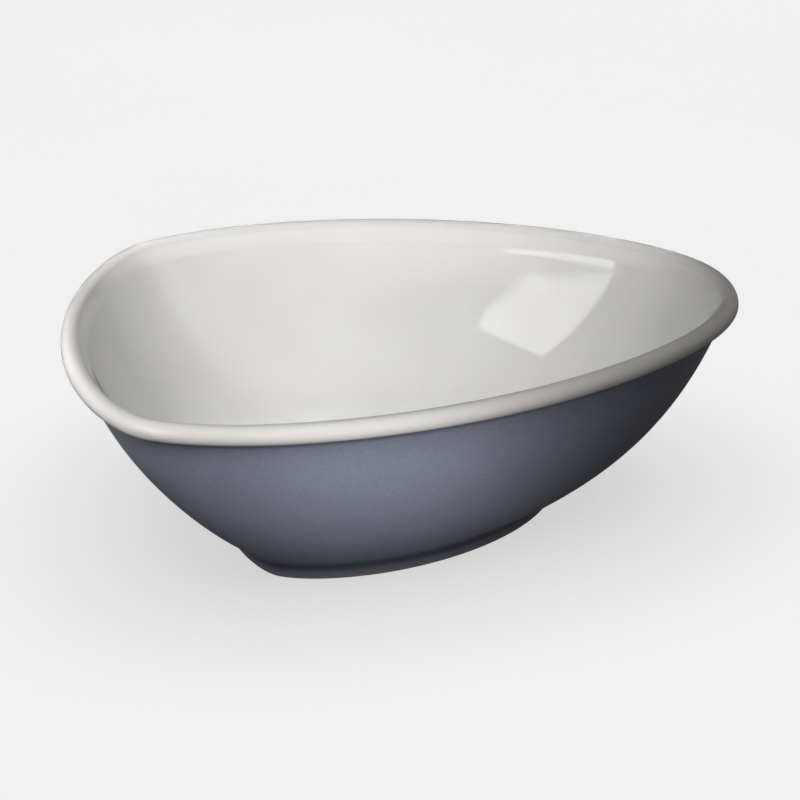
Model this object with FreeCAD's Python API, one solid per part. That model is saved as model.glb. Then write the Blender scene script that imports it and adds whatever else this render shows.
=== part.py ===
# Teardrop serving bowl: one glazed ceramic vessel with a rolled rim and a low foot ring.
# Millimetres, +Z up. The origin is on the table, under the middle of the rim's length.
# The narrow tip points along +X, and the bowl is symmetric about the XZ plane.
import FreeCAD, Part
import math
import os

# Overall sizes
LENGTH = 280.0               # heel to tip, over the rim
HEIGHT = 87.0                # table to the top of the rim
BEAD_RADIUS = 4.1            # rolled rim, seen in section
GLAZE = 0.4                  # thickness of a glaze coat

# Plan outlines. Each is a support function: the distance from the Z axis to the tangent line
# whose outward normal points at angle a is the sum of term[k] * cos(k * a).
# In order the terms are the mean radius, a shift along X, ovalness, egg shape, squareness and tip.
RIM_OVAL = 17.4
RIM_EGG = 9.8
RIM_SQUARE = -3.1
RIM_TIP = -0.7
RIM_MEAN = LENGTH / 2 - RIM_OVAL - RIM_SQUARE
RIM_SHIFT = -(RIM_EGG + RIM_TIP)
RIM_OUTLINE = [RIM_MEAN, RIM_SHIFT, RIM_OVAL, RIM_EGG, RIM_SQUARE, RIM_TIP]
FOOT_OUTLINE = [71.5, -14.6, 1.3, 5.8, -1.3, 0.0]

# Heights above the table
FLOOR_TOP = 12.0             # inside floor, on the glaze
WELL_TOP = 5.6               # ceiling of the recess inside the foot ring, on the glaze
GLAZE_EDGE = 1.4             # lower edge of the glaze on both sides of the foot ring
FOOT_SIDE_TOP = 2.4          # top of the foot ring's upright outer side
WELL_SIDE_TOP = 3.4          # top of the foot ring's upright inner side

# Foot ring section
FOOT_WIDTH = 6.0             # across the ring, over both glaze coats
FOOT_ROUND = 0.9             # rounding on both bare lower edges

# Where the curves of the section meet
BEAD_START = -75.0           # degrees from straight out, on the underside of the bead
BEAD_END = 150.0             # degrees, on the inner flank of the bead
WALL_START = 0.06            # share of the wall curve taken up by the hollow above the foot
WALL_END = 0.965             # share of the wall curve at which the hollow under the bead begins
LIP_SHARE = 0.015            # share of the inner wall curve that belongs to the rim

# Fineness of the curved surfaces
ANGLES = 72                  # points round each ring


def station(foot, rim, outset, shift, height):
    """A ring of the bowl: shares of the two outlines, an outset, a shift along X and a height."""
    return [foot, rim, outset, shift, height]


def step(start, rate, amount):
    """The station reached by following a rate of change for an amount."""
    return [a + amount * b for a, b in zip(start, rate)]


def line(start, end):
    """A straight stretch of the section. Gives the station and its rate of change at t."""
    def at(t):
        rate = [b - a for a, b in zip(start, end)]
        return step(start, rate, t), rate
    return at


def bezier(first, second, third, fourth):
    """A cubic stretch of the section."""
    def at(t):
        s = 1.0 - t
        place = []
        rate = []
        for a, b, c, d in zip(first, second, third, fourth):
            place.append(s ** 3 * a + 3 * s * s * t * b + 3 * s * t * t * c + t ** 3 * d)
            rate.append(3 * s * s * (b - a) + 6 * s * t * (c - b) + 3 * t * t * (d - c))
        return place, rate
    return at


def arc(foot, rim, outset, height, radius, start, end):
    """A circular stretch of the section between two angles in degrees, on a ring's outset."""
    turn = math.radians(end - start)

    def at(t):
        angle = math.radians(start) + t * turn
        across = radius * math.cos(angle)
        up = radius * math.sin(angle)
        place = station(foot, rim, outset + across, 0.0, height + up)
        rate = station(0.0, 0.0, -up * turn, 0.0, across * turn)
        return place, rate
    return at


def part_of(curve, start, end):
    """The stretch of a section curve between two of its own parameters."""
    def at(t):
        place, rate = curve(start + t * (end - start))
        return place, [value * (end - start) for value in rate]
    return at


def joining(before, after, leave, arrive):
    """A smooth stretch from the end of one curve to the start of the next."""
    start, start_rate = before(1.0)
    end, end_rate = after(0.0)
    return bezier(start, step(start, start_rate, leave), step(end, end_rate, -arrive), end)


def reach(ring, angle):
    """Support distance of a ring at an angle, which also serves for rates of change."""
    foot = sum(term * math.cos(k * angle) for k, term in enumerate(FOOT_OUTLINE))
    rim = sum(term * math.cos(k * angle) for k, term in enumerate(RIM_OUTLINE))
    return ring[0] * foot + ring[1] * rim + ring[2] + ring[3] * math.cos(angle)


def reach_turn(ring, angle):
    """Rate of change of the support distance with the angle."""
    foot = -sum(k * term * math.sin(k * angle) for k, term in enumerate(FOOT_OUTLINE))
    rim = -sum(k * term * math.sin(k * angle) for k, term in enumerate(RIM_OUTLINE))
    return ring[0] * foot + ring[1] * rim - ring[3] * math.sin(angle)


def surface_point(curve, t, angle, depth):
    """A point of the surface, moved straight into the material by a depth."""
    ring, rate = curve(t)
    out_rate = reach(rate, angle)
    up_rate = rate[4]
    size = math.hypot(out_rate, up_rate)
    out = reach(ring, angle) - depth * up_rate / size
    along = reach_turn(ring, angle)
    x = out * math.cos(angle) - along * math.sin(angle)
    y = out * math.sin(angle) + along * math.cos(angle)
    return FreeCAD.Vector(x, y, ring[4] + depth * out_rate / size)


def ring_curve(curve, t, depth):
    """The closed curve round the bowl at one place of the section, from the heel."""
    points = []
    for i in range(ANGLES):
        points.append(surface_point(curve, t, math.pi + 2 * math.pi * i / ANGLES, depth))
    places = [i / ANGLES for i in range(ANGLES + 1)]
    ring = Part.BSplineCurve()
    ring.interpolate(Points=points, PeriodicFlag=True, Parameters=places)
    return ring


def skin(rings):
    """A smooth closed band through rings, or a ruled band if there are two."""
    places = [i / (len(rings) - 1) for i in range(len(rings))]
    around = rings[0]
    rows = []
    for poles in zip(*[ring.getPoles() for ring in rings]):
        across = Part.BSplineCurve()
        if len(rings) == 2:
            across.buildFromPolesMultsKnots(list(poles), [2, 2], [0.0, 1.0], False, 1)
        else:
            across.interpolate(Points=list(poles), Parameters=places)
        rows.append(across.getPoles())
    surface = Part.BSplineSurface()
    surface.buildFromPolesMultsKnots(rows, around.getMultiplicities(), across.getMultiplicities(),
                                     around.getKnots(), across.getKnots(), True, False,
                                     around.Degree, across.Degree)
    return surface.toShape()


def band(curve, depth, count):
    """The surface swept round the bowl by a stretch of the section."""
    return skin([ring_curve(curve, i / (count - 1), depth) for i in range(count)])


def ledge(first, second):
    """The ruled face between two rings."""
    return skin([first, second])


def disc(ring):
    """The flat face inside a level ring."""
    return Part.Face(Part.Wire([ring.toShape()]))


def annulus(outer, inner):
    """The flat face between two rings at one height."""
    wires = [Part.Wire([outer.toShape()]), Part.Wire([inner.toShape()])]
    return Part.makeFace(wires, "Part::FaceMakerBullseye")


def closed_solid(faces):
    """The solid enclosed by faces that meet along their rings."""
    shell = Part.makeShell(faces)
    shell.sewShape()
    solid = Part.makeSolid(shell)
    if solid.Volume < 0:
        solid.reverse()
    return solid


# The wall, from the foot ring to the rim. The two middle stations set its outward bulge.
WALL = bezier(station(1.0, 0.0, 0.1, 0.0, 6.2),
              station(0.58, 0.42, -2.5, 5.5, 17.8),
              station(0.2, 0.8, -4.8, 0.0, 42.5),
              station(0.0, 1.0, -6.0, 0.0, HEIGHT - 2 * BEAD_RADIUS))
OUTER_WALL = part_of(WALL, WALL_START, WALL_END)

# The inside, from under the bead down to the edge of the flat floor
INSIDE = bezier(station(0.0, 1.0, -11.4, 0.0, 78.4),
                station(0.34, 0.66, -10.5, 1.7, 23.8),
                station(1.0, 0.0, 5.5, 3.3, FLOOR_TOP),
                station(0.58, 0.0, 0.0, 0.0, FLOOR_TOP))
INNER_LIP = part_of(INSIDE, 0.0, LIP_SHARE)
INNER_WALL = part_of(INSIDE, LIP_SHARE, 1.0)

# The rolled rim's bead
BEAD = arc(0.0, 1.0, -BEAD_RADIUS, HEIGHT - BEAD_RADIUS, BEAD_RADIUS, BEAD_START, BEAD_END)


# The foot ring's glazed sides, and the hollows that join them to the wall and to the ceiling
OUTER_SIDE = line(station(1.0, 0.0, 0.0, 0.0, GLAZE_EDGE),
                  station(1.0, 0.0, 0.0, 0.0, FOOT_SIDE_TOP))
FOOT_HOLLOW = joining(OUTER_SIDE, OUTER_WALL, 2.2, 0.05)
INNER_SIDE = line(station(1.0, 0.0, -FOOT_WIDTH, 0.0, WELL_SIDE_TOP),
                  station(1.0, 0.0, -FOOT_WIDTH, 0.0, GLAZE_EDGE))
WELL_CORNER = bezier(station(1.0, 0.0, -FOOT_WIDTH - 2.2, 0.0, WELL_TOP),
                     station(1.0, 0.0, -FOOT_WIDTH - 1.0, 0.0, WELL_TOP),
                     station(1.0, 0.0, -FOOT_WIDTH, 0.0, WELL_TOP - 1.0),
                     station(1.0, 0.0, -FOOT_WIDTH, 0.0, WELL_SIDE_TOP))

# The hollow under the bead, and the soft shoulder between the bead and the inside
NECK = joining(OUTER_WALL, BEAD, 0.02, 0.1)
SHOULDER = joining(BEAD, INSIDE, 0.15, 0.0116)

# The foot ring's bare clay, inside the line of the glaze coats
BARE_OUTER = line(station(1.0, 0.0, -GLAZE, 0.0, FOOT_ROUND),
                  station(1.0, 0.0, -GLAZE, 0.0, GLAZE_EDGE))
BARE_INNER = line(station(1.0, 0.0, GLAZE - FOOT_WIDTH, 0.0, GLAZE_EDGE),
                  station(1.0, 0.0, GLAZE - FOOT_WIDTH, 0.0, FOOT_ROUND))
OUTER_ROUND = arc(1.0, 0.0, -GLAZE - FOOT_ROUND, FOOT_ROUND, FOOT_ROUND, -90.0, 0.0)
INNER_ROUND = arc(1.0, 0.0, GLAZE + FOOT_ROUND - FOOT_WIDTH, FOOT_ROUND, FOOT_ROUND, -180.0, -90.0)


def bowl_wall():
    """Clay wall and floor, open at the top, with flat seats for the rim and the foot ring."""
    faces = [band(OUTER_WALL, GLAZE, 17)]
    faces.append(ledge(ring_curve(OUTER_WALL, 1.0, GLAZE), ring_curve(INNER_WALL, 0.0, GLAZE)))
    faces.append(band(INNER_WALL, GLAZE, 21))
    faces.append(disc(ring_curve(INNER_WALL, 1.0, GLAZE)))
    faces.append(disc(ring_curve(WELL_CORNER, 0.0, GLAZE)))
    faces.append(ledge(ring_curve(WELL_CORNER, 0.0, GLAZE), ring_curve(OUTER_WALL, 0.0, GLAZE)))
    return closed_solid(faces)


def rolled_rim():
    """Clay lip: the bead, the hollow under it and the shoulder inside it."""
    faces = [band(NECK, GLAZE, 9)]
    faces.append(band(BEAD, GLAZE, 17))
    faces.append(band(SHOULDER, GLAZE, 9))
    faces.append(band(INNER_LIP, GLAZE, 5))
    faces.append(ledge(ring_curve(INNER_LIP, 1.0, GLAZE), ring_curve(NECK, 0.0, GLAZE)))
    return closed_solid(faces)


def foot_ring():
    """Clay ring under the floor. Its level lower face is the only thing that meets the table."""
    faces = [band(WELL_CORNER, GLAZE, 9)]
    faces.append(band(INNER_SIDE, GLAZE, 5))
    faces.append(band(BARE_INNER, 0.0, 5))
    faces.append(band(INNER_ROUND, 0.0, 9))
    faces.append(annulus(ring_curve(OUTER_ROUND, 0.0, 0.0), ring_curve(INNER_ROUND, 1.0, 0.0)))
    faces.append(band(OUTER_ROUND, 0.0, 9))
    faces.append(band(BARE_OUTER, 0.0, 5))
    faces.append(band(OUTER_SIDE, GLAZE, 5))
    faces.append(band(FOOT_HOLLOW, GLAZE, 9))
    faces.append(ledge(ring_curve(FOOT_HOLLOW, 1.0, GLAZE), ring_curve(WELL_CORNER, 0.0, GLAZE)))
    return closed_solid(faces)


def inner_glaze():
    """White coat over the whole inside and over the bead, down to the bead's underside."""
    faces = []
    for depth in (0.0, GLAZE):
        faces.append(band(BEAD, depth, 17))
        faces.append(band(SHOULDER, depth, 9))
        faces.append(band(INNER_LIP, depth, 5))
        faces.append(band(INNER_WALL, depth, 21))
        faces.append(disc(ring_curve(INNER_WALL, 1.0, depth)))
    faces.append(ledge(ring_curve(BEAD, 0.0, 0.0), ring_curve(BEAD, 0.0, GLAZE)))
    return closed_solid(faces)


def outer_glaze():
    """Slate coat from under the bead down to a line just above the bare foot edge."""
    faces = []
    for depth in (0.0, GLAZE):
        faces.append(band(OUTER_SIDE, depth, 5))
        faces.append(band(FOOT_HOLLOW, depth, 9))
        faces.append(band(OUTER_WALL, depth, 17))
        faces.append(band(NECK, depth, 9))
    faces.append(ledge(ring_curve(OUTER_SIDE, 0.0, 0.0), ring_curve(OUTER_SIDE, 0.0, GLAZE)))
    faces.append(ledge(ring_curve(NECK, 1.0, 0.0), ring_curve(NECK, 1.0, GLAZE)))
    return closed_solid(faces)


def foot_well_glaze():
    """Slate coat on the ceiling and sides of the recess inside the foot ring."""
    faces = []
    for depth in (0.0, GLAZE):
        faces.append(disc(ring_curve(WELL_CORNER, 0.0, depth)))
        faces.append(band(WELL_CORNER, depth, 9))
        faces.append(band(INNER_SIDE, depth, 5))
    faces.append(ledge(ring_curve(INNER_SIDE, 1.0, 0.0), ring_curve(INNER_SIDE, 1.0, GLAZE)))
    return closed_solid(faces)


def main():
    os.makedirs("parts", exist_ok=True)
    nodes = {"bowl_wall": bowl_wall, "rolled_rim": rolled_rim, "foot_ring": foot_ring,
             "inner_glaze": inner_glaze, "outer_glaze": outer_glaze,
             "foot_well_glaze": foot_well_glaze}
    for name, make in nodes.items():
        shape = make()
        shape.exportStep("parts/" + name + ".step")
        print(name, "valid", shape.isValid(), "volume", round(shape.Volume, 1))


main()
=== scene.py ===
import math

import bpy
import numpy as np
from mathutils import Matrix, Vector, noise

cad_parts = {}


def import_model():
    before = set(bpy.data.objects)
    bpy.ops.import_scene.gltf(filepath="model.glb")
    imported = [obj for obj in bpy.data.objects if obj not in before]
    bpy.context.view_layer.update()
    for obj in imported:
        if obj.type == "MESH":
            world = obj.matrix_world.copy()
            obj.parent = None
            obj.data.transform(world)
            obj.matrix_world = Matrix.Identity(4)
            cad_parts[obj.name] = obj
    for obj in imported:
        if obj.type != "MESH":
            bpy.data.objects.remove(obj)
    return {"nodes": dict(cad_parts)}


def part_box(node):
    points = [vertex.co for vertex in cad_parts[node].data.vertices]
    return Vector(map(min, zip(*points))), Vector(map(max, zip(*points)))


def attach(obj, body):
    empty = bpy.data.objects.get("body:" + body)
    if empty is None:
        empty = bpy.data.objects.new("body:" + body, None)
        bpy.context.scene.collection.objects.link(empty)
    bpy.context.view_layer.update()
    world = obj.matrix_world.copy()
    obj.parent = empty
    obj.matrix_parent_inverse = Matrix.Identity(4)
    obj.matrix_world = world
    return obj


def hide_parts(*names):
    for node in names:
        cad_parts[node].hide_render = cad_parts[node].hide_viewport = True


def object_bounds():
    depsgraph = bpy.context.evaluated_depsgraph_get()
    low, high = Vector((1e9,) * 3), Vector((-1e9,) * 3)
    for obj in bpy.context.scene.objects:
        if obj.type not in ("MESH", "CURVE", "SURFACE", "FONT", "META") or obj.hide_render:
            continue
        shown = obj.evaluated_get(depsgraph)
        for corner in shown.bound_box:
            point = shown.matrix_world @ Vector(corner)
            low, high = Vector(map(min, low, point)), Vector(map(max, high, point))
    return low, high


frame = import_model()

CAD_LOW, CAD_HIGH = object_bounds()
MM = 0.001

# Sizes in millimetres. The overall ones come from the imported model.
LENGTH = (CAD_HIGH.x - CAD_LOW.x) / MM
HEIGHT = CAD_HIGH.z / MM
GLAZE = 0.4
FLOOR_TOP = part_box("inner_glaze")[0].z / MM + GLAZE
WELL_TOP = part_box("foot_well_glaze")[1].z / MM - GLAZE
GLAZE_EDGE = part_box("outer_glaze")[0].z / MM
BEAD_RADIUS = 4.1
FOOT_WIDTH = 6.0
FOOT_ROUND = 0.9
FOOT_SIDE_TOP = 2.4
WELL_SIDE_TOP = 3.4
WELL_REACH = 2.2             # how far the recess ceiling stays inside the foot ring
FLOOR_SHARE = 0.58           # edge of the flat inside floor, as a share of the foot outline
SKIN = 0.03                  # the visible surfaces lie this far inside the CAD surfaces

# Plan outlines, as in the CAD model: the distance from the Z axis to the tangent line whose
# outward normal points at angle a is the sum of term[k] * cos(k * a)
RIM_OVAL, RIM_EGG, RIM_SQUARE, RIM_TIP = 17.4, 9.8, -3.1, -0.7
RIM_MEAN = LENGTH / 2 - RIM_OVAL - RIM_SQUARE
RIM_OUTLINE = np.array((RIM_MEAN, -RIM_EGG - RIM_TIP, RIM_OVAL, RIM_EGG, RIM_SQUARE, RIM_TIP))
FOOT_OUTLINE = np.array((71.5, -14.6, 1.3, 5.8, -1.3, 0.0))

AROUND = 320                 # points round each ring
FINE_ANGLES = 2881           # steps used to space those points
EVENNESS = 45.0              # more of this gives gentle stretches of the outline more points
DRIFT_CIRCLE = 130.0         # radius of the circle on which slow wanders are taken
RIPPLE = 0.08                # height of the broad ripples in the glaze
RIPPLE_WIDTH = 30.0          # across one of them
SMALL_RIPPLE_WIDTH = 9.0     # across the weaker ones on top of them
GRAIN = 0.05                 # height of the grain on the bare foot
GRAIN_WIDTH = 2.3
EDGE_DROP = 0.08             # how much lower a glaze coat is at its rounded edge
BEAD_LINE = -75.0            # where the two glazes meet under the bead, in degrees
BEAD_END = 150.0             # the inner end of the bead's arc
WALL_START = 0.06            # share of the wall curve taken up by the hollow above the foot
WALL_END = 0.965             # share of the wall curve at which the hollow under the bead begins


# ---- The section of the bowl. A station is the foot's share and the rim's share of the outline,
# ---- an outset, a shift along X and a height.

def step(start, rate, amount):
    return [a + amount * b for a, b in zip(start, rate)]


def line(start, end):
    def at(t):
        rate = [b - a for a, b in zip(start, end)]
        return step(start, rate, t), rate
    return at


def bezier(first, second, third, fourth):
    def at(t):
        s = 1.0 - t
        place, rate = [], []
        for a, b, c, d in zip(first, second, third, fourth):
            place.append(s ** 3 * a + 3 * s * s * t * b + 3 * s * t * t * c + t ** 3 * d)
            rate.append(3 * s * s * (b - a) + 6 * s * t * (c - b) + 3 * t * t * (d - c))
        return place, rate
    return at


def arc(foot, rim, outset, height, radius, start, end):
    turn = math.radians(end - start)

    def at(t):
        angle = math.radians(start) + t * turn
        across, up = radius * np.cos(angle), radius * np.sin(angle)
        return ([foot, rim, outset + across, 0.0, height + up],
                [0.0, 0.0, -up * turn, 0.0, across * turn])
    return at


def part_of(curve, start, end):
    def at(t):
        place, rate = curve(start + t * (end - start))
        return place, [value * (end - start) for value in rate]
    return at


def joining(before, after, leave, arrive):
    start, start_rate = before(1.0)
    end, end_rate = after(0.0)
    return bezier(start, step(start, start_rate, leave), step(end, end_rate, -arrive), end)


WALL = bezier((1.0, 0.0, 0.1, 0.0, 6.2),
              (0.58, 0.42, -2.5, 5.5, 17.8),
              (0.2, 0.8, -4.8, 0.0, 42.5),
              (0.0, 1.0, -6.0, 0.0, HEIGHT - 2 * BEAD_RADIUS))
OUTER_WALL = part_of(WALL, WALL_START, WALL_END)
INSIDE = bezier((0.0, 1.0, -11.4, 0.0, 78.4),
                (0.34, 0.66, -10.5, 1.7, 23.8),
                (1.0, 0.0, 5.5, 3.3, FLOOR_TOP),
                (FLOOR_SHARE, 0.0, 0.0, 0.0, FLOOR_TOP))
FLOOR = line((FLOOR_SHARE, 0.0, 0.0, 0.0, FLOOR_TOP), (0.0, 0.0, 0.0, 0.0, FLOOR_TOP))
BEAD = arc(0.0, 1.0, -BEAD_RADIUS, HEIGHT - BEAD_RADIUS, BEAD_RADIUS, BEAD_LINE, BEAD_END)
OUTER_SIDE = line((1.0, 0.0, 0.0, 0.0, GLAZE_EDGE), (1.0, 0.0, 0.0, 0.0, FOOT_SIDE_TOP))
FOOT_HOLLOW = joining(OUTER_SIDE, OUTER_WALL, 2.2, 0.05)
NECK = joining(OUTER_WALL, BEAD, 0.02, 0.1)
SHOULDER = joining(BEAD, INSIDE, 0.15, 0.0116)
CEILING_EDGE = -FOOT_WIDTH - WELL_REACH
CEILING = line((0.0, 0.0, 0.0, 0.0, WELL_TOP), (1.0, 0.0, CEILING_EDGE, 0.0, WELL_TOP))
WELL_CORNER = bezier((1.0, 0.0, CEILING_EDGE, 0.0, WELL_TOP),
                     (1.0, 0.0, -FOOT_WIDTH - 1.0, 0.0, WELL_TOP),
                     (1.0, 0.0, -FOOT_WIDTH, 0.0, WELL_TOP - 1.0),
                     (1.0, 0.0, -FOOT_WIDTH, 0.0, WELL_SIDE_TOP))
INNER_SIDE = line((1.0, 0.0, -FOOT_WIDTH, 0.0, WELL_SIDE_TOP),
                  (1.0, 0.0, -FOOT_WIDTH, 0.0, GLAZE_EDGE))
BARE_OUTER = line((1.0, 0.0, -GLAZE, 0.0, FOOT_ROUND), (1.0, 0.0, -GLAZE, 0.0, GLAZE_EDGE))
BARE_INNER = line((1.0, 0.0, GLAZE - FOOT_WIDTH, 0.0, GLAZE_EDGE),
                  (1.0, 0.0, GLAZE - FOOT_WIDTH, 0.0, FOOT_ROUND))
OUTER_ROUND = arc(1.0, 0.0, -GLAZE - FOOT_ROUND, FOOT_ROUND, FOOT_ROUND, -90.0, 0.0)
INNER_ROUND = arc(1.0, 0.0, GLAZE + FOOT_ROUND - FOOT_WIDTH, FOOT_ROUND, FOOT_ROUND, -180.0, -90.0)
GROUND = line((1.0, 0.0, GLAZE + FOOT_ROUND - FOOT_WIDTH, 0.0, 0.0),
              (1.0, 0.0, -GLAZE - FOOT_ROUND, 0.0, 0.0))


# ---- Points on the surfaces

ORDER = np.arange(len(RIM_OUTLINE))


def even_angles(count):
    """Angles round the bowl from the heel, spaced roughly evenly along the rim."""
    fine = math.pi + np.linspace(0.0, 2 * math.pi, FINE_ANGLES)
    radius = np.cos(np.outer(fine, ORDER)) @ (RIM_OUTLINE * (1 - ORDER ** 2))
    length = np.concatenate(([0.0], np.cumsum((radius[1:] + radius[:-1]) / 2 + EVENNESS)))
    return np.interp(np.arange(count) * length[-1] / count, length, fine)


ANGLE = even_angles(AROUND)
COS, SIN = np.cos(ANGLE), np.sin(ANGLE)
WAVES, WAVE_TURNS = np.cos(np.outer(ANGLE, ORDER)), -np.sin(np.outer(ANGLE, ORDER)) * ORDER
FOOT_REACH, RIM_REACH = WAVES @ FOOT_OUTLINE, WAVES @ RIM_OUTLINE
FOOT_TURN, RIM_TURN = WAVE_TURNS @ FOOT_OUTLINE, WAVE_TURNS @ RIM_OUTLINE


def reach(ring):
    return ring[0] * FOOT_REACH + ring[1] * RIM_REACH + ring[2] + ring[3] * COS


def ring_at(curve, t, depth):
    """One ring of points in millimetres, moved straight into the material by a depth."""
    ring, rate = curve(t)
    out_rate, up_rate = reach(rate), rate[4]
    size = np.hypot(out_rate, up_rate) + 1e-12
    out = reach(ring) - depth * up_rate / size
    along = ring[0] * FOOT_TURN + ring[1] * RIM_TURN - ring[3] * SIN
    height = ring[4] + depth * out_rate / size
    return np.stack((out * COS - along * SIN, out * SIN + along * COS, height), axis=1)


def noise_on(points, width, seed):
    """Smooth noise from -1 to 1 at each point."""
    shift = Vector((seed * 3.1, seed * 7.7, seed * 1.3))
    return np.array([noise.noise(Vector(point) / width + shift) for point in points.tolist()])


def drift(seed, width):
    """A slow wander round the bowl, from -1 to 1."""
    circle = np.stack((COS, SIN, 0 * COS), axis=1) * DRIFT_CIRCLE
    return noise_on(circle, width, seed)


def rippled(curve, t, depth=SKIN):
    """A ring of glazed surface with its broad unevenness, always into the material."""
    points = ring_at(curve, t, depth)
    rise = 0.5 + 0.45 * noise_on(points, RIPPLE_WIDTH, 1) + 0.12 * noise_on(points, SMALL_RIPPLE_WIDTH, 2)
    return ring_at(curve, t, depth + RIPPLE * np.clip(rise, 0.0, 1.0))


def stretch(curve, count, make, first=0):
    """Rings evenly along one stretch of the section, leaving out those before the first."""
    return [make(curve, i / count) for i in range(first, count + 1)]


def back_stretch(curve, count, first=0):
    """Rings on the hidden side of a glaze coat, against the clay."""
    return stretch(curve, count, lambda c, t: ring_at(c, t, GLAZE), first)


# ---- Pieces. Each ring has a shade for its material: how thickly the glaze pools there, from 0
# ---- where it runs thin to 1, or how clean the bare clay is. On the slate the values near 1
# ---- paint shade in the hollows; on bare clay the low values paint shade on the foot's edge.

def piece_from_rings(name, rings, shades, poles=(None, None)):
    """A closed piece from rings in order. Without poles the last ring joins the first."""
    points = np.concatenate(rings) * MM
    values = np.concatenate([np.broadcast_to(np.asarray(s, float), AROUND) for s in shades])
    count = len(rings)
    corner = np.arange(AROUND)
    after = (corner + 1) % AROUND
    faces = []
    for j in range(count if poles[0] is None else count - 1):
        low, high = j * AROUND, (j + 1) % count * AROUND
        faces += np.stack((low + corner, low + after, high + after, high + corner), 1).tolist()
    for pole, base, turned in ((poles[0], 0, True), (poles[1], (count - 1) * AROUND, False)):
        if pole is not None:
            points = np.vstack((points, np.array((0.0, 0.0, pole * MM))))
            values = np.append(values, values[base])
            tip = len(points) - 1
            pair = (base + after, base + corner) if turned else (base + corner, base + after)
            faces += [(a, b, tip) for a, b in zip(pair[0].tolist(), pair[1].tolist())]
    mesh = bpy.data.meshes.new(name)
    mesh.from_pydata(points.tolist(), [], faces)
    mesh.shade_smooth()
    mesh.attributes.new("pool", "FLOAT", "POINT").data.foreach_set("value", values)
    piece = bpy.data.objects.new(name, mesh)
    bpy.context.scene.collection.objects.link(piece)
    return piece


def claim(piece, node, material):
    piece.data.materials.append(material)
    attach(piece, "root")
    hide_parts(node)


def glaze_line():
    """Where on the bead the two glazes meet: a share of the bead's arc that wanders a little."""
    return 0.012 + 0.012 * drift(5, 24.0)


def inner_glaze(material):
    """White coat over the bead and down the inside to the middle of the floor."""
    start = glaze_line()

    def bead(curve, t):
        return rippled(curve, start + t * (1.0 - start))
    rings = stretch(BEAD, 26, bead)
    shades = [0.2] * len(rings)
    for curve, count, shade in ((SHOULDER, 10, 0.4), (INSIDE, 66, 0.5), (FLOOR, 14, 0.6)):
        rings += stretch(curve, count, rippled, 1)
        shades += [shade] * count
    rings[0] = ring_at(BEAD, start, SKIN + RIPPLE + EDGE_DROP)
    rings.pop()                              # a pole closes the middle of the floor instead
    back = [ring_at(BEAD, start, GLAZE)] + back_stretch(BEAD, 12, 1)
    back += back_stretch(SHOULDER, 4, 1) + back_stretch(INSIDE, 30, 1) + back_stretch(FLOOR, 4, 1)
    back.pop()
    order = back[::-1] + rings
    piece = piece_from_rings("glaze_inside", order, [0.5] * len(back) + shades[:len(rings)],
                             (FLOOR_TOP - GLAZE, FLOOR_TOP - SKIN - RIPPLE / 2))
    claim(piece, "inner_glaze", material)


def outer_glaze(material):
    """Dark blue-grey coat, partly slate glaze and partly painted shade, from above the bare foot up to
    the white glaze under the bead.
    """
    end = glaze_line()
    edge = 0.16 + 0.14 * drift(8, 20.0)      # a share of the foot's side
    rings = [ring_at(OUTER_SIDE, edge, 0.75 * GLAZE), ring_at(OUTER_SIDE, edge + 0.1, 0.3 * GLAZE)]
    shades = [0.0, 0.05]
    for i in range(1, 5):
        rings.append(rippled(OUTER_SIDE, edge + 0.1 + (0.9 - edge) * i / 4))
        shades.append(0.2 + 0.1 * i)
    # The hollow above the foot and the hollow under the bead rise to 0.9: pooled glaze, deepened by the
    # slate material into painted shade.
    for curve, count, low, high in ((FOOT_HOLLOW, 10, 0.55, 0.9), (OUTER_WALL, 56, 0.5, 0.5),
                                    (NECK, 8, 0.55, 0.9)):
        rings += stretch(curve, count, rippled, 1)
        shades += [low + (high - low) * math.sin(math.pi * i / count) for i in range(count)]
    rings.append(rippled(BEAD, end * 0.5))
    rings.append(ring_at(BEAD, end, SKIN + RIPPLE + EDGE_DROP))
    shades += [0.2, 0.0]
    back = [ring_at(OUTER_SIDE, edge, GLAZE)] + back_stretch(OUTER_SIDE, 2, 1)
    back += back_stretch(FOOT_HOLLOW, 6, 1) + back_stretch(OUTER_WALL, 28, 1)
    back += back_stretch(NECK, 5, 1) + [ring_at(BEAD, end, GLAZE)]
    piece = piece_from_rings("glaze_outside", rings + back[::-1], shades + [0.5] * len(back))
    claim(piece, "outer_glaze", material)


def well_glaze(material):
    """Dark blue-grey coat, partly slate glaze and partly painted shade, on the ceiling and the sides of
    the recess inside the foot ring.
    """
    edge = 0.93 - 0.05 * drift(12, 18.0)     # a share of the recess's side
    rings = stretch(CEILING, 16, rippled, 1)
    shades = [0.5] * 16
    # The recess's corner rises to 0.9: pooled glaze, deepened by the slate material into painted shade.
    for i in range(1, 9):
        rings.append(rippled(WELL_CORNER, i / 8))
        shades.append(0.5 + 0.4 * math.sin(math.pi * i / 8))
    for i in range(1, 5):
        rings.append(rippled(INNER_SIDE, (edge - 0.06) * i / 4))
        shades.append(0.5 - 0.1 * i)
    rings += [ring_at(INNER_SIDE, edge - 0.03, 0.3 * GLAZE), ring_at(INNER_SIDE, edge, 0.75 * GLAZE)]
    shades += [0.05, 0.0]
    back = back_stretch(CEILING, 4, 1) + back_stretch(WELL_CORNER, 5, 1)
    back += [ring_at(INNER_SIDE, edge / 2, GLAZE), ring_at(INNER_SIDE, edge, GLAZE)]
    piece = piece_from_rings("glaze_foot_well", rings + back[::-1], shades + [0.5] * len(back),
                             (WELL_TOP + SKIN + RIPPLE / 2, WELL_TOP + GLAZE))
    claim(piece, "foot_well_glaze", material)


def grainy(curve, t):
    points = ring_at(curve, t, 0.0)
    grain = 0.5 + 0.5 * noise_on(points, GRAIN_WIDTH, 21)
    return ring_at(curve, t, GRAIN * np.clip(grain, 0.0, 1.0))


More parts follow.
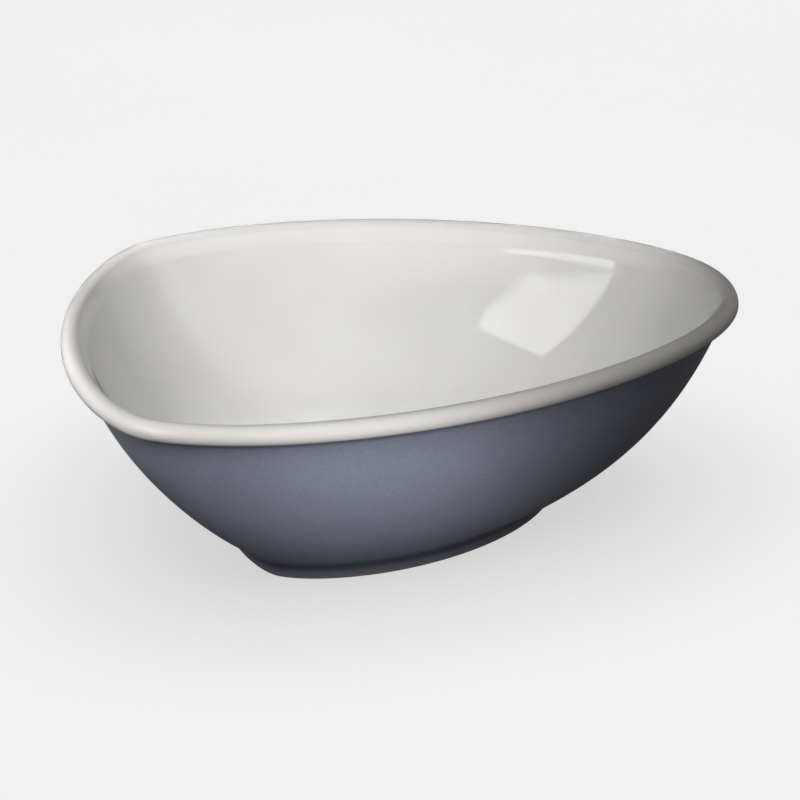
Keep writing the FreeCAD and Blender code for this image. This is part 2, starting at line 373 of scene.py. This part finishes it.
def clay_foot(material):
    """Bare clay ring that stands on the table. The glaze coats hide its upper parts."""
    rings = back_stretch(WELL_CORNER, 6) + back_stretch(INNER_SIDE, 2, 1)
    shades = [0.5] * len(rings)
    for curve, count in ((BARE_INNER, 3), (INNER_ROUND, 6), (GROUND, 8), (OUTER_ROUND, 6),
                         (BARE_OUTER, 3)):
        rings += stretch(curve, count, grainy, 1)
        # The bare sides and rounds get 0.3, which the clay material turns into painted shade; the ground
        # face gets 0.8.
        shades += [0.8 if curve is GROUND else 0.3] * count
    rings += back_stretch(OUTER_SIDE, 2, 1) + back_stretch(FOOT_HOLLOW, 6, 1)
    shades += [0.5] * (len(rings) - len(shades))
    piece = piece_from_rings("clay_foot_ring", rings, shades)
    claim(piece, "foot_ring", material)


# ---- Materials

SHADE_DARKEST_BELOW = 0.004           # painted shade darkens the slate most below this height, in metres
SHADE_ENDS_ABOVE = 0.062           # and ends above this one


class Nodes:
    """A material under construction, with short names for the nodes it needs."""

    def __init__(self, name):
        self.material = bpy.data.materials.new(name)
        self.material.use_nodes = True
        self.tree = self.material.node_tree
        self.shader = self.tree.nodes["Principled BSDF"]
        self.place = self.node("ShaderNodeTexCoord").outputs["Object"]

    def node(self, kind, **settings):
        made = self.tree.nodes.new(kind)
        for key, value in settings.items():
            setattr(made, key, value)
        return made

    def link(self, source, target):
        self.tree.links.new(source, target)

    def noise(self, scale, detail=2.0, rough=0.5, warp=0.0):
        made = self.node("ShaderNodeTexNoise")
        made.inputs["Scale"].default_value = scale
        made.inputs["Detail"].default_value = detail
        made.inputs["Roughness"].default_value = rough
        made.inputs["Distortion"].default_value = warp
        self.link(self.place, made.inputs["Vector"])
        return made.outputs["Fac"]

    def spots(self, scale):
        made = self.node("ShaderNodeTexVoronoi")
        made.inputs["Scale"].default_value = scale
        self.link(self.place, made.inputs["Vector"])
        return made.outputs["Distance"]

    def ramp(self, source, stops):
        """Remaps a value to colours or numbers given as (place, value)."""
        made = self.node("ShaderNodeValToRGB")
        elements = made.color_ramp.elements
        while len(elements) < len(stops):
            elements.new(0.5)
        for element, (place, value) in zip(elements, stops):
            element.position = place
            colour = value if isinstance(value, tuple) else (value, value, value)
            element.color = (*colour, 1.0)
        self.link(source, made.inputs["Fac"])
        return made.outputs["Color"]

    def mix(self, share, first, second, blend="MIX"):
        made = self.node("ShaderNodeMix", data_type="RGBA", blend_type=blend)
        for socket, value in ((made.inputs[0], share), (made.inputs[6], first),
                              (made.inputs[7], second)):
            if isinstance(value, bpy.types.NodeSocket):
                self.link(value, socket)
            elif isinstance(value, tuple):
                socket.default_value = (*value, 1.0)
            else:
                socket.default_value = value
        return made.outputs[2]

    def pool(self):
        made = self.node("ShaderNodeAttribute", attribute_name="pool")
        return made.outputs["Fac"]

    def height(self, low, high):
        """Height above the table, 0 at the low level and 1 at the high one."""
        split = self.node("ShaderNodeSeparateXYZ")
        self.link(self.place, split.inputs[0])
        made = self.node("ShaderNodeMapRange")
        made.inputs["From Min"].default_value = low
        made.inputs["From Max"].default_value = high
        self.link(split.outputs["Z"], made.inputs["Value"])
        return made.outputs[0]

    def bump(self, height, strength, distance):
        made = self.node("ShaderNodeBump")
        made.inputs["Strength"].default_value = strength
        made.inputs["Distance"].default_value = distance
        self.link(height, made.inputs["Height"])
        return made.outputs["Normal"]

    def finish(self, colour, roughness, normal, **constants):
        self.link(colour, self.shader.inputs["Base Color"])
        self.link(roughness, self.shader.inputs["Roughness"])
        self.link(normal, self.shader.inputs["Normal"])
        for key, value in constants.items():
            self.shader.inputs[key.replace("_", " ")].default_value = value
        return self.material


def white_glaze():
    """Glossy white glaze: faint clouding, slightly warmer where it runs thin."""
    n = Nodes("white_glaze")
    clouds = n.ramp(n.noise(22.0, 3.0), ((0.3, (0.765, 0.755, 0.74)), (0.7, (0.80, 0.795, 0.785))))
    thin = n.ramp(n.pool(), ((0.1, (0.90, 0.885, 0.86)), (0.45, (1.0, 1.0, 1.0))))
    colour = n.mix(1.0, clouds, thin, "MULTIPLY")
    pits = n.ramp(n.spots(190.0), ((0.0, 0.93), (0.035, 1.0)))
    colour = n.mix(1.0, colour, pits, "MULTIPLY")
    rough = n.ramp(n.noise(45.0, 4.0), ((0.3, 0.025), (0.75, 0.05)))
    normal = n.bump(n.noise(420.0, 2.0), 0.04, 0.0004)
    return n.finish(colour, rough, normal, IOR=1.5)


def slate_glaze():
    """Satin slate-blue glaze, its dark tone partly painted shade. It is light where it breaks over edges,
    and painted shade darkens it towards the foot and in the hollows where it pools.
    """
    n = Nodes("slate_glaze")
    # The dark blue-grey base is partly the glaze's own tone and partly painted shade of the outside.
    base = n.ramp(n.noise(26.0, 4.0, 0.55, 0.4), ((0.25, (0.208, 0.221, 0.283)),
                                                (0.75, (0.238, 0.251, 0.318))))
    # Painted shade: the slate darkens towards the foot.
    painted_foot_shade = n.ramp(n.height(SHADE_DARKEST_BELOW, SHADE_ENDS_ABOVE), ((0.0, 0.36), (0.35, 0.64), (1.0, 1.0)))
    colour = n.mix(1.0, base, painted_foot_shade, "MULTIPLY")
    # Lighter where the glaze breaks thin over edges. The dark end, for the hollows above the foot, under
    # the bead and in the recess's corner, is pooled glaze deepened into painted shade.
    depth = n.ramp(n.pool(), ((0.0, (1.5, 1.45, 1.4)), (0.3, (1.08, 1.08, 1.08)),
                              (0.52, (1.0, 1.0, 1.0)), (0.9, (0.44, 0.45, 0.48))))
    colour = n.mix(1.0, colour, depth, "MULTIPLY")
    specks = n.ramp(n.noise(900.0, 2.0, 0.7), ((0.35, 0.90), (0.5, 1.0), (0.68, 1.05)))
    colour = n.mix(1.0, colour, specks, "MULTIPLY")
    rough = n.ramp(n.noise(60.0, 5.0, 0.6), ((0.3, 0.30), (0.7, 0.38)))
    normal = n.bump(n.noise(700.0, 3.0, 0.6), 0.08, 0.0003)
    return n.finish(colour, rough, normal, IOR=1.5)


def bare_clay():
    """Bare clay: grainy and matt, darkened with painted shade beside the glaze and ground pale
    underneath.
    """
    n = Nodes("clay")
    base = n.ramp(n.noise(60.0, 5.0, 0.65), ((0.3, (0.60, 0.555, 0.49)), (0.7, (0.72, 0.68, 0.61))))
    grit = n.ramp(n.noise(2600.0, 2.0, 0.8), ((0.3, 0.72), (0.5, 1.0), (0.8, 1.08)))
    # Painted shade: dark on the foot's bare sides and rounds, pale on the ground face.
    painted_edge_shade = n.ramp(n.pool(), ((0.3, (0.16, 0.155, 0.16)), (0.7, (0.92, 0.90, 0.87))))
    colour = n.mix(1.0, n.mix(1.0, base, grit, "MULTIPLY"), painted_edge_shade, "MULTIPLY")
    rough = n.ramp(n.noise(800.0, 3.0), ((0.3, 0.74), (0.7, 0.90)))
    normal = n.bump(n.noise(1500.0, 4.0, 0.7), 0.5, 0.0005)
    return n.finish(colour, rough, normal, IOR=1.45)


# ---- Stage: places, distances and sizes in metres, angles in degrees

WINDOW_PLACE = Vector((-0.339, -0.338, 0.190))   # found from where its reflection should lie
WINDOW_FACING = Vector((0.918, -0.386, 0.095))
WINDOW_SIZE = (0.477, 0.136)
WINDOW_WATTS = 0.9

BACK_WALL = (-0.06, 0.06, 0.07)      # what the lamps are aimed at
HEEL_WALL = (-0.11, 0.0, 0.07)
FRONT_WALL = (-0.015, -0.095, 0.045)
FRONT_RIGHT_WALL = (-0.005, -0.09, 0.040)
BEAD_LEFT = (-0.15, -0.05, 0.085)
BEAD_HEEL = (-0.155, 0.0, 0.085)
RIM_BACK = (-0.02, 0.130, 0.085)
RIM_RIGHT = (0.095, 0.085, 0.085)
RIM_LEFT = (-0.125, 0.10, 0.085)
MIDDLE = (0.0, 0.0, 0.045)
BROAD = (0.3, 0.3)                   # sizes of lamps
SMALL = (0.08, 0.08)
LOW_STRIP = (0.4, 0.07)

# Each lamp: its name, aim, bearing, height, distance, size, spread of the beam and watts.
# A fit of the shading showed which lamps the bowl needs, and their values were then set.
# The rim lamps and the fills, which light the sides not seen, were added.
LAMPS = (
    ("key", BACK_WALL, -125.0, 48.0, 0.6, BROAD, 40.0, 0.10),
    ("key_high", BACK_WALL, -125.0, 65.0, 0.6, BROAD, 40.0, 0.04),
    ("key_right", BACK_WALL, -105.0, 48.0, 0.6, BROAD, 40.0, 0.055),
    ("key_low", BACK_WALL, -105.0, 18.0, 0.6, BROAD, 40.0, 0.07),
    ("heel", HEEL_WALL, -105.0, 48.0, 0.6, BROAD, 40.0, 0.065),
    ("front", FRONT_WALL, -110.0, 10.0, 0.5, SMALL, 18.0, 0.012),
    ("front_low", FRONT_WALL, -100.0, 8.0, 0.5, SMALL, 18.0, 0.008),
    ("front_right", FRONT_RIGHT_WALL, -80.0, 5.0, 0.5, SMALL, 14.0, 0.004),
    ("bead_left", BEAD_LEFT, -150.0, 55.0, 0.6, SMALL, 12.0, 0.006),
    ("bead_heel", BEAD_HEEL, -175.0, 45.0, 0.6, SMALL, 12.0, 0.009),
    ("rim_back", RIM_BACK, 90.0, 85.0, 0.32, (0.26, 0.04), 14.0, 0.02),
    ("rim_right", RIM_RIGHT, 55.0, 85.0, 0.32, (0.11, 0.04), 14.0, 0.014),
    ("rim_left", RIM_LEFT, 130.0, 85.0, 0.32, (0.08, 0.04), 14.0, 0.01),
    ("fill_tip", MIDDLE, 40.0, 0.0, 0.6, LOW_STRIP, 120.0, 0.5),
    ("fill_back", MIDDLE, 90.0, 0.0, 0.6, LOW_STRIP, 120.0, 0.6),
    ("fill_heel", MIDDLE, 150.0, 0.0, 0.6, LOW_STRIP, 120.0, 0.8),
)

FLOOR_GLOW = 0.62
FLOOR_SUN = 1.5
FLOOR_SUN_ANGLE = 80.0               # so broad that the bowl's shadow is soft
# radius and height of the floor's edge, and of the rings of the backdrop above it
SWEEP = ((4.0, 0.0), (4.9, 0.12), (5.6, 0.5), (6.1, 1.2), (6.35, 2.2), (6.4, 3.6))
SWEEP_SIDES = 96

ROOM_BELOW, ROOM_ABOVE = 0.05, 0.10  # brightness of the room, and the heights between
ROOM_FROM, ROOM_TO = -0.3, 0.6       # which it changes, from -1 straight down to 1 straight up
ROOM_TINT = (1.0, 0.985, 0.97, 1.0)


def floor_material():
    """Pale matt floor with a glow of its own, so that it stays even."""
    n = Nodes("studio_floor")
    colour = n.ramp(n.noise(3.0, 3.0), ((0.3, (0.44, 0.44, 0.44)), (0.7, (0.46, 0.46, 0.46))))
    rough = n.ramp(n.noise(40.0), ((0.3, 0.7), (0.7, 0.8)))
    normal = n.bump(n.noise(300.0), 0.02, 0.0005)
    return n.finish(colour, rough, normal, Specular_IOR_Level=0.0,
                    Emission_Color=(1.0, 1.0, 1.0, 1.0), Emission_Strength=FLOOR_GLOW)


def sweep_ring(radius, height):
    turns = [2 * math.pi * i / SWEEP_SIDES for i in range(SWEEP_SIDES)]
    return [(radius * math.cos(a), radius * math.sin(a), height) for a in turns]


def stage_piece(name, points, faces, material):
    """Part of the studio. It shows and takes shadows, but throws no light back on to the bowl."""
    mesh = bpy.data.meshes.new(name)
    mesh.from_pydata(points, [], faces)
    mesh.shade_smooth()
    mesh.materials.append(material)
    piece = bpy.data.objects.new(name, mesh)
    piece.visible_diffuse = False
    piece.visible_glossy = False
    bpy.context.scene.collection.objects.link(piece)
    return piece


def floor():
    """A wide floor that turns up into a backdrop far away, all round."""
    material = floor_material()
    flat = stage_piece("studio_floor", sweep_ring(*SWEEP[0]), [tuple(range(SWEEP_SIDES))], material)
    points = [point for radius, height in SWEEP for point in sweep_ring(radius, height)]
    faces = []
    for j in range(len(SWEEP) - 1):
        for i in range(SWEEP_SIDES):
            near, far = j * SWEEP_SIDES, (j + 1) * SWEEP_SIDES
            after = (i + 1) % SWEEP_SIDES
            faces.append((near + i, far + i, far + after, near + after))
    backdrop = stage_piece("studio_sweep", points, faces, material)
    backdrop.visible_shadow = False
    return flat, backdrop


def light_group(name, pieces, state):
    """Names the pieces that a light reaches, with INCLUDE, or misses, with EXCLUDE."""
    group = bpy.data.collections.new(name)
    for piece in pieces:
        group.objects.link(piece)
    for member in group.collection_objects:
        member.light_linking.link_state = state
    return group


def floor_light(group):
    """Broad even light from overhead, for the floor alone, with a soft shadow under the bowl."""
    data = bpy.data.lights.new("overhead", "SUN")
    data.energy = FLOOR_SUN
    data.angle = math.radians(FLOOR_SUN_ANGLE)
    light = bpy.data.objects.new("overhead", data)
    light.light_linking.receiver_collection = group
    bpy.context.scene.collection.objects.link(light)


def towards(bearing, height):
    """Unit vector to a bearing and a height in degrees."""
    a, e = math.radians(bearing), math.radians(height)
    return Vector((math.cos(a) * math.cos(e), math.sin(a) * math.cos(e), math.sin(e)))


def panel(name, place, facing, size, watts, spread=180.0):
    """A rectangular light that shines along a direction, its long side level."""
    data = bpy.data.lights.new(name, "AREA")
    data.shape = "RECTANGLE"
    data.size, data.size_y = size
    data.energy = watts
    data.spread = math.radians(spread)
    light = bpy.data.objects.new(name, data)
    light.location = place
    light.rotation_euler = facing.to_track_quat("-Z", "Y").to_euler()
    light.visible_camera = False
    bpy.context.scene.collection.objects.link(light)
    return light


def soft_light(name, aim, bearing, height, distance, size, spread, watts):
    """A diffused light that fades out round the place it is aimed at, with no reflection."""
    way = towards(bearing, height)
    light = panel(name, Vector(aim) + way * distance, -way, size, watts, spread)
    light.visible_glossy = False
    return light


def lights(group):
    """Daylight through a low window on the left, seen only in reflections, and the lamps."""
    window = panel("window", WINDOW_PLACE, WINDOW_FACING, WINDOW_SIZE, WINDOW_WATTS)
    window.visible_diffuse = False
    lamps = [soft_light(*lamp) for lamp in LAMPS]
    for light in (window, *lamps):
        light.light_linking.receiver_collection = group


def world():
    """A dim room, with a little more light from above than from below."""
    made = bpy.data.worlds.new("studio")
    made.use_nodes = True
    nodes, links = made.node_tree.nodes, made.node_tree.links
    split = nodes.new("ShaderNodeSeparateXYZ")
    links.new(nodes.new("ShaderNodeTexCoord").outputs["Generated"], split.inputs[0])
    sky = nodes.new("ShaderNodeMapRange")
    sky.inputs["From Min"].default_value = ROOM_FROM
    sky.inputs["From Max"].default_value = ROOM_TO
    sky.inputs["To Min"].default_value = ROOM_BELOW
    sky.inputs["To Max"].default_value = ROOM_ABOVE
    links.new(split.outputs["Z"], sky.inputs["Value"])
    links.new(sky.outputs[0], nodes["Background"].inputs["Strength"])
    nodes["Background"].inputs["Color"].default_value = ROOM_TINT
    bpy.context.scene.world = made


# ---- Camera, found by fitting the bowl's outline: angles in degrees, distances in metres

CAMERA_SIDE = -5.12                  # towards the heel from straight in front
CAMERA_HEIGHT = 26.11
CAMERA_ROLL = -1.97
CAMERA_DISTANCE = 1.0
CAMERA_AIM = Vector((-0.0091, 0.0, 0.030))
AIM_RIGHT, AIM_UP = 0.00718, 0.01287  # from there to the middle of the view
CAMERA_LENS = 106.59
SENSOR_WIDTH = 36.0


def camera():
    """A long lens looking down on the bowl from the front, a little from the heel's side."""
    away = towards(CAMERA_SIDE - 90.0, CAMERA_HEIGHT)
    right = (-away).cross(Vector((0.0, 0.0, 1.0))).normalized()
    up = right.cross(-away)
    roll = math.radians(CAMERA_ROLL)
    turned_right = right * math.cos(roll) + up * math.sin(roll)
    turned_up = up * math.cos(roll) - right * math.sin(roll)
    turn = Matrix((turned_right, turned_up, away)).transposed().to_4x4()
    place = CAMERA_AIM + right * AIM_RIGHT + up * AIM_UP + away * CAMERA_DISTANCE
    data = bpy.data.cameras.new("camera")
    data.lens = CAMERA_LENS
    data.sensor_width = SENSOR_WIDTH
    eye = bpy.data.objects.new("camera", data)
    eye.matrix_world = Matrix.Translation(place) @ turn
    bpy.context.scene.collection.objects.link(eye)
    bpy.context.scene.camera = eye


def main():
    camera()
    clay = bare_clay()
    slate_and_painted_shade = slate_glaze()
    inner_glaze(white_glaze())
    outer_glaze(slate_and_painted_shade)
    well_glaze(slate_and_painted_shade)
    clay_foot(clay)
    for name in ("bowl_wall", "rolled_rim"):
        for material_slot in frame["nodes"][name].material_slots:
            material_slot.material = clay
    stage = floor()
    floor_light(light_group("floor_only", stage, "INCLUDE"))
    lights(light_group("not_the_floor", stage, "EXCLUDE"))
    world()
    bpy.context.scene.view_settings.view_transform = "Standard"


main()
